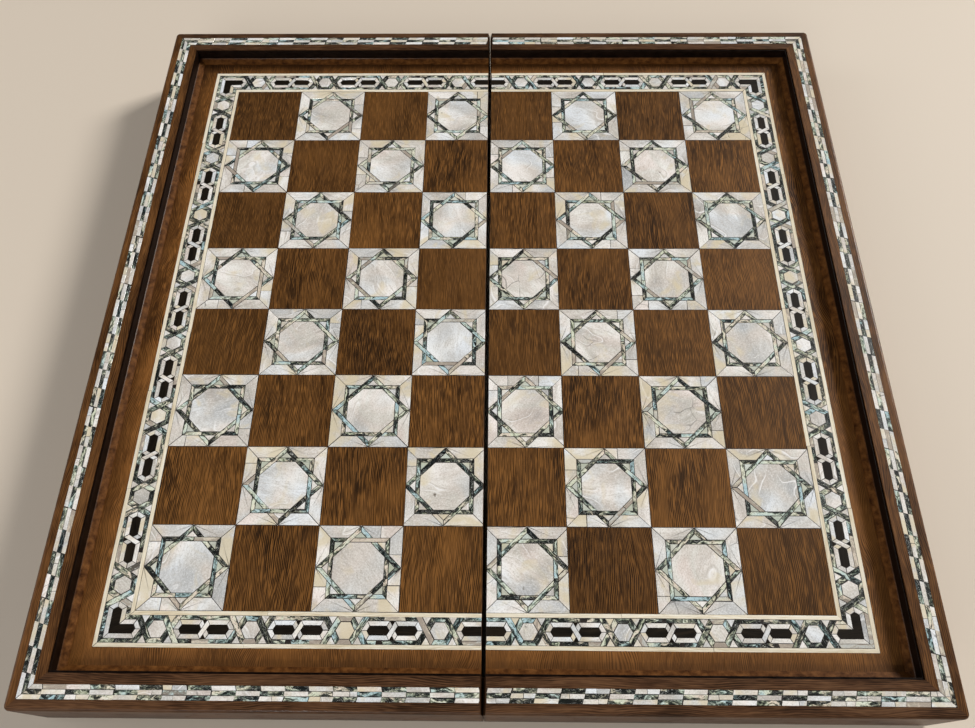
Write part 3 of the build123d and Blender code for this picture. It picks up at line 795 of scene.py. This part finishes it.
def pair_cell():
    """Two long cells whose pearl outlines cross between them."""
    shapes = []
    for s in (1, -1):
        for kind, poly in long_cell(BLACK_L, ends=(s,)):
            shapes.append((kind, shifted(poly, s * PAIR_HALF)))
    flip = rng.choice((1, -1))
    top, low_v = OUTLINE_H, BLACK_H
    over = [
        (top / ROOT3 - WHITE_HALF, top), (-low_v / ROOT3 - WHITE_HALF, -low_v),
        (-top / ROOT3 + WHITE_HALF, -top), (low_v / ROOT3 + WHITE_HALF, low_v),
    ]
    under = wound(mirrored(over, -1, 1))
    side = (ROOT3 / 2, -0.5)
    right = cut(under, (WHITE_HALF, 0), (-side[0], -side[1]))
    left = cut(under, (-WHITE_HALF, 0), side)
    for part in (over, right, left):
        shapes.append(("white", mirrored(part, 1, flip)))
    apex = WHITE_HALF * ROOT3
    base = (top - apex) / ROOT3
    for sv in (1, -1):
        shapes.append(("speck", [(0, apex * sv), (base, top * sv), (-base, top * sv)]))
        end = CELL_PITCH / 2 - CROSS_AT - CROSS_HALF
        strip = [
            (-end + OUTLINE_H / ROOT3, OUTLINE_H), (end - OUTLINE_H / ROOT3, OUTLINE_H),
            (end - HALF_BAND / ROOT3, HALF_BAND), (-end + HALF_BAND / ROOT3, HALF_BAND),
        ]
        for u0, u1 in pieces_along(-end, end, 13.0):
            lean = rng.uniform(-0.4, 0.4)
            part = cut(wound(mirrored(strip, 1, sv)), (u0, 0), (-1, lean))
            shapes.append(("shell", cut(part, (u1, 0), (1, -lean))))
    return shapes


def fold_cell(centre_h):
    """The long cell that the saw cut in two; centre_h is the last hexagon's distance."""
    tip = centre_h - CROSS_AT - CROSS_HALF
    shapes = long_cell(tip - 2 * WHITE_HALF, ends=(-1,))
    for sv in (1, -1):
        strip = [
            (-tip + OUTLINE_H / ROOT3, OUTLINE_H), (0, OUTLINE_H),
            (0, HALF_BAND), (-tip + HALF_BAND / ROOT3, HALF_BAND),
        ]
        shapes.append(("shell", mirrored(strip, 1, sv)))
    return shapes


def corner_cell(first):
    """The L-shaped cell; first is the distance from the middle line's corner to a hexagon."""
    tip = first - CROSS_AT - CROSS_HALF
    black_l = tip - 2 * WHITE_HALF
    b, o, h = BLACK_H, OUTLINE_H, HALF_BAND
    shoulder = black_l - b / ROOT3
    outer = tip - o / ROOT3
    shapes = [
        ("black", [(-b, -b), (shoulder, -b), (black_l, 0), (shoulder, b), (b, b),
                   (b, shoulder), (0, black_l), (-b, shoulder)])
    ]
    for swap in (False, True):
        arm = [
            ("white", [(-b, -b), (-o, -o), (outer, -o), (shoulder, -b)]),
            ("white", [(b, b), (shoulder, b), (outer, o), (o, o)]),
            ("white", [(shoulder, -b), (outer, -o), (tip, 0), (black_l, 0)]),
            ("white", [(shoulder, b), (black_l, 0), (tip, 0), (outer, o)]),
            ("shell", [(-o, -o), (-h, -h), (tip - h / ROOT3, -h), (outer, -o)]),
            ("shell", [(o, o), (outer, o), (tip - h / ROOT3, h), (h, h)]),
        ]
        for kind, poly in arm:
            shapes.append((kind, [(v, u) for u, v in poly] if swap else poly))
    return shapes


def border(side, sign):
    pearl = Inlay(FIELD_TOP, VENEER, sign)
    black = Inlay(FIELD_TOP, VENEER, sign)
    shell = Inlay(FIELD_TOP, VENEER, sign)
    targets = {
        "hexagon": (pearl, 0.55), "white": (pearl, GAP), "wedge": (pearl, GAP),
        "black": (black, 0.2), "speck": (black, 0.2), "shell": (shell, 0.25),
        "strip": (shell, GAP),
    }

    def lay(shapes, to_board, along):
        for kind, poly in shapes:
            if len(poly) < 3:
                continue
            target, gap = targets[kind]
            placed = cut(wound([to_board(u, v) for u, v in poly]), (-FOLD - 0.1, 0), (1, 0))
            grain = along
            if kind in ("strip", "white") and placed:
                ends = max(
                    ((p, q) for p in placed for q in placed), key=lambda e: math.dist(*e)
                )
                grain = (ends[1][0] - ends[0][0], ends[1][1] - ends[0][1])
            if kind == "hexagon":
                grain = (rng.gauss(0, 1), rng.gauss(0, 1))
            tone = None
            if kind == "white":
                tone = [rng.random() * 0.93, 0.6 + 0.4 * rng.random(), rng.random() * 0.8, 0]
            if kind == "hexagon":
                tone = [rng.random(), 0.5 + 0.5 * rng.random(), rng.random() * 0.8, 0]
            if kind in ("shell", "strip"):
                tone = [rng.random(), 0.68 * rng.random(), rng.random(), 0]
            target.add(placed, grain, gap=gap, tone=tone)

    first = FIRST_CELL - LINE - HALF_BAND
    side_cells = [MID_Y - first - CELL_PITCH * k for k in range(8)]
    end_cells = [-MID_X + first + CELL_PITCH * k for k in range(4)]
    last = -end_cells[-1]

    def side_map(centre):
        return lambda u, v: (-MID_X - v, centre + u)

    def end_map(centre, sy):
        return lambda u, v: (centre + u, sy * (MID_Y + v))

    for y in side_cells:
        lay(hexagon_cell(), side_map(y), (0, 1))
    for k in range(7):
        lay(pair_cell(), side_map(side_cells[k] - CELL_PITCH / 2), (0, 1))
    for sy in (1, -1):
        for x in end_cells:
            lay(hexagon_cell(), end_map(x, sy), (1, 0))
        for x in end_cells[:-1]:
            lay(pair_cell(), end_map(x + CELL_PITCH / 2, sy), (1, 0))
        lay(fold_cell(last), end_map(0, sy), (1, 0))
        lay(corner_cell(first), lambda u, v: (-MID_X + u, sy * (MID_Y - v)), (1, 0.2))
    body = f"board_{side}"
    pearl.build(f"{side}_border_pearl", PEARL, body, [f"{side}_band_pearl"])
    black.build(f"{side}_border_black", EBONY, body, [f"{side}_band_black"])
    shell.build(f"{side}_border_shell", ABALONE, body, [f"{side}_band_abalone"])


# ---------------------------------------------------------------- cream lines
def frame_line(target, out_x, out_y, width, stop_x, length=95.0):
    """A line along three sides, mitred at the corners and cut at stop_x."""
    in_x, in_y = out_x - width, out_y - width
    for y0, y1 in pieces_along(-out_y, out_y, length):
        strip = wound([(-out_x, -out_y), (-in_x, -in_y), (-in_x, in_y), (-out_x, out_y)])
        target.add(cut(cut(strip, (0, y0), (0, -1)), (0, y1), (0, 1)), (0, 1), gap=LINE_GAP)
    for sy in (1, -1):
        for x0, x1 in pieces_along(-out_x, stop_x, length):
            strip = wound([(-out_x, sy * out_y), (stop_x, sy * out_y), (stop_x, sy * in_y),
                           (-in_x, sy * in_y)])
            target.add(cut(cut(strip, (x0, 0), (-1, 0)), (x1, 0), (1, 0)), (1, 0), gap=LINE_GAP)


def cream_lines(side, sign):
    lines = Inlay(FIELD_TOP, VENEER, sign, edge=0.04)
    frame_line(lines, CREAM_X, CREAM_Y, LINE, -FOLD)
    frame_line(lines, FIELD_X + LINE, FIELD_Y + LINE, LINE, -FOLD)
    lines.build(f"{side}_cream_lines", CREAM, f"board_{side}",
                [f"{side}_stringing"])


# ---------------------------------------------------------------- rim mosaic
def rim_mosaic(side, sign):
    pearl = Inlay(RIM_TOP, BRICK_DEPTH, sign)
    shell = Inlay(RIM_TOP, BRICK_DEPTH, sign)
    mid = RIM_MID
    half = RIM_STRIP / 2
    step = RIM_STRIP / 3

    def run(start, stop, to_board, along, trim, straight, slant=0.28):
        count = round((stop - start) / BRICK)
        length = (stop - start) / count
        for i in range(count):
            for r in range(3):
                v0, v1 = -half + r * step, -half + (r + 1) * step
                slip = rng.gauss(0, 0.2)
                a, b = start + i * length + slip, start + (i + 1) * length + slip
                # The ends slant: the same way in all rows, or as a chevron.
                lean = slant * step * (1 if straight else (1, 0, -1)[r])
                offset = slant * (v0 + v1) / 2 if straight else 0
                brick = [(a + offset - lean / 2, v0), (b + offset - lean / 2, v0),
                         (b + offset + lean / 2, v1), (a + offset + lean / 2, v1)]
                placed = wound([to_board(u, v) for u, v in brick])
                for point, normal in trim:
                    placed = cut(placed, point, normal)
                light = (i + r) % 2 == 0
                target = pearl if light else shell
                values = [rng.random(), rng.random(), rng.random(), 0.0]
                if light:
                    values[1] = 0.5 + 0.5 * values[1]
                else:
                    values[1] = 0.6 * values[1]
                if light and rng.random() < 0.3:
                    share = rng.uniform(0.3, 0.7)
                    cut_at = to_board(a + (b - a) * share, 0)
                    target.add(cut(placed, cut_at, along), along, gap=BRICK_GAP, tone=values)
                    back = (-along[0], -along[1])
                    target.add(cut(placed, cut_at, back), along, gap=BRICK_GAP,
                               tone=[rng.random() for _ in range(3)] + [0.0])
                else:
                    target.add(placed, along, gap=BRICK_GAP, tone=values)

    corner = mid + half
    diagonal = 1 / math.sqrt(2)
    side_trim = [((-mid, -mid), (diagonal, -diagonal)), ((-mid, mid), (diagonal, diagonal)),
                 ((0, corner), (0, 1)), ((0, -corner), (0, -1))]
    run(-corner, corner, lambda u, v: (-mid - v, u), (0, 1), side_trim, True)
    for sy in (1, -1):
        trim = [((-mid, sy * mid), (-diagonal, -sy * diagonal)), ((-FOLD - RIM_END, 0), (1, 0)),
                ((-corner, 0), (-1, 0))]
        run(-corner, -FOLD - RIM_END, lambda u, v: (u, sy * (mid + v)), (1, 0), trim, sy > 0)
    body = f"board_{side}"
    pearl.build(f"{side}_rim_bricks_light", PEARL, body, [f"{side}_rim_pearl"])
    shell.build(f"{side}_rim_bricks_dark", ABALONE, body, [f"{side}_rim_abalone"])


# ---------------------------------------------------------------- dark glue under the inlay
def glue_material():
    s = Shader("mastic", coat_weight=0.3)
    grain = s.noise(s.place(), 900, 2)
    body = s.ramp(grain, (0.3, rgb(14, 10, 8)), (0.7, rgb(40, 30, 22)))
    return s.finish(body, s.span(grain, 0.3, 0.7, 0.4, 0.6), grain, 0.2, 0.0001)


GLUE = glue_material()


def glue_bed(side, sign):
    field = Inlay(FIELD_TOP - BED_DROP, 0.4, sign, gap=0.0, edge=0.02)
    flat = [0.5] * 4
    field.add(rect(-CREAM_X + 0.05, -FOLD - 0.05, -CREAM_Y + 0.05, CREAM_Y - 0.05), loose=0,
              gap=0.0, tone=flat)
    field.build(f"{side}_glue_bed", GLUE, f"board_{side}")
    rim = Inlay(RIM_TOP - BED_DROP, 0.6, sign, gap=0.0, edge=0.02)
    mid, half = RIM_MID, RIM_STRIP / 2
    o, i = mid + half, mid - half
    stop, clear = -FOLD - RIM_END, 0.03
    rim.add([(-o, -o), (-i, -i), (-i, i), (-o, o)], loose=0, gap=0.0, tone=flat)
    for sy in (1, -1):
        rim.add([(clear - o, sy * o), (stop, sy * o), (stop, sy * i), (clear - i, sy * i)],
                loose=0, gap=0.0, tone=flat)
    rim.build(f"{side}_rim_glue", GLUE, f"board_{side}")


# ---------------------------------------------------------------- tray line
def tray_line(side):
    floor_low, floor_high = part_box(f"{side}_tray_stringing")
    top = -mm(floor_low.z)
    x0, x1 = sorted((abs(mm(floor_low.x)), abs(mm(floor_high.x))))
    y = mm(floor_high.y)
    line = Inlay(top, 0.7, 1, edge=0.04)
    width = TRAY_LINE
    # Laid out mirrored, because this face looks down.
    for a, b in pieces_along(-y, y, 110):
        for outer, inner_x in ((-x1, -x1 + width), (-x0, -x0 - width)):
            strip = wound([(outer, -y), (inner_x, -y + width), (inner_x, y - width), (outer, y)])
            line.add(cut(cut(strip, (0, a), (0, -1)), (0, b), (0, 1)), (0, 1), gap=0.1)
    for sy in (1, -1):
        for a, b in pieces_along(-x1, -x0, 100):
            strip = wound([(-x1, sy * y), (-x0, sy * y), (-x0 - width, sy * (y - width)),
                           (-x1 + width, sy * (y - width))])
            line.add(cut(cut(strip, (a, 0), (-1, 0)), (b, 0), (1, 0)), (1, 0), gap=0.1)
    piece = line.build(f"{side}_tray_line", CREAM, f"board_{side}",
                       [f"{side}_tray_stringing"])
    # Turned over about the axis along the fold, its top faces down and it is on the right.
    piece.data.transform(Matrix.Rotation(math.pi, 4, "Y"))
    if side == "left":
        piece.data.transform(Matrix.Rotation(math.pi, 4, "Z"))


for half_name, half_sign in (("left", 1), ("right", -1)):
    chess_field(half_name, half_sign)
    border(half_name, half_sign)
    cream_lines(half_name, half_sign)
    rim_mosaic(half_name, half_sign)
    glue_bed(half_name, half_sign)
    tray_line(half_name)

# ---------------------------------------------------------------- stage
FLOOR_RADIUS = 4.4
FLOOR_SIDES = 128
SKY_LOW = (0.12, (0.50, 0.465, 0.42, 1))  # height of the view and its colour
SKY_HIGH = (0.5, (0.06, 0.06, 0.06, 1))
SENSOR = 36.0  # mm
LENS = SENSOR * 825.4 / 975  # by the focal length over the width of the picture

floor_mesh = bpy.data.meshes.new("floor")
floor_mesh.from_pydata(
    [
        (FLOOR_RADIUS * math.cos(turn), FLOOR_RADIUS * math.sin(turn), 0)
        for turn in (math.tau * i / FLOOR_SIDES for i in range(FLOOR_SIDES))
    ],
    [], [tuple(range(FLOOR_SIDES))],
)
floor = bpy.data.objects.new("floor", floor_mesh)
bpy.context.scene.collection.objects.link(floor)
floor_shader = Shader("pale_floor")
floor_shader.finish((0.70, 0.615, 0.515, 1.0), 0.7)
floor_mesh.materials.append(floor_shader.material)


def area_light(name, place, target, size, power, color=(1, 1, 1)):
    data = bpy.data.lights.new(name, "AREA")
    data.shape = "RECTANGLE"
    data.size, data.size_y = size
    data.energy = power
    data.color = color
    light = bpy.data.objects.new(name, data)
    light.location = place
    direction = Vector(target) - Vector(place)
    light.rotation_euler = direction.to_track_quat("-Z", "Y").to_euler()
    bpy.context.scene.collection.objects.link(light)


area_light("key", (4.4, 3.2, 3.4), (0, 0, 0), (1.6, 1.6), 430, (1.0, 0.97, 0.93))
area_light("front", (-0.6, -2.4, 1.6), (0, 0, 0), (1.8, 1.0), 21, (1.0, 0.98, 0.96))
area_light("left", (-2.4, -0.1, 1.6), (0, 0, 0), (1.1, 1.1), 11, (0.98, 0.98, 1.0))
area_light("glint", (-0.75, -2.0, 2.3), (0, 0, 0), (0.3, 0.2), 14, (1.0, 0.99, 0.97))

world = bpy.data.worlds.new("studio")
bpy.context.scene.world = world
world.use_nodes = True
background = next(n for n in world.node_tree.nodes if n.type == "BACKGROUND")
direction = world.node_tree.nodes.new("ShaderNodeTexCoord")
upward = world.node_tree.nodes.new("ShaderNodeSeparateXYZ")
fade = world.node_tree.nodes.new("ShaderNodeValToRGB")
for element, (position, value) in zip(fade.color_ramp.elements, (SKY_LOW, SKY_HIGH)):
    element.position = position
    element.color = value
world.node_tree.links.new(direction.outputs[0], upward.inputs[0])
world.node_tree.links.new(upward.outputs[2], fade.inputs[0])
world.node_tree.links.new(fade.outputs[0], background.inputs[0])

# ---------------------------------------------------------------- camera
# Its place and axes were solved from the corners of the chess grid.
camera_data = bpy.data.cameras.new("camera")
camera_data.sensor_width = SENSOR
camera_data.lens = LENS
camera_data.clip_start = 0.01
camera = bpy.data.objects.new("camera", camera_data)
bpy.context.scene.collection.objects.link(camera)
right = Vector((0.99990, 0.00916, -0.01063))
down = Vector((0.00324, -0.88802, -0.45980))
ahead = Vector((-0.01365, 0.45972, -0.88796))
turn = Matrix((right, -down, -ahead)).transposed().to_4x4()
camera.matrix_world = Matrix.Translation((0.00775, -0.28593, 0.47292 + FIELD_TOP * MM)) @ turn
bpy.context.scene.camera = camera
bpy.context.scene.view_settings.view_transform = "Standard"
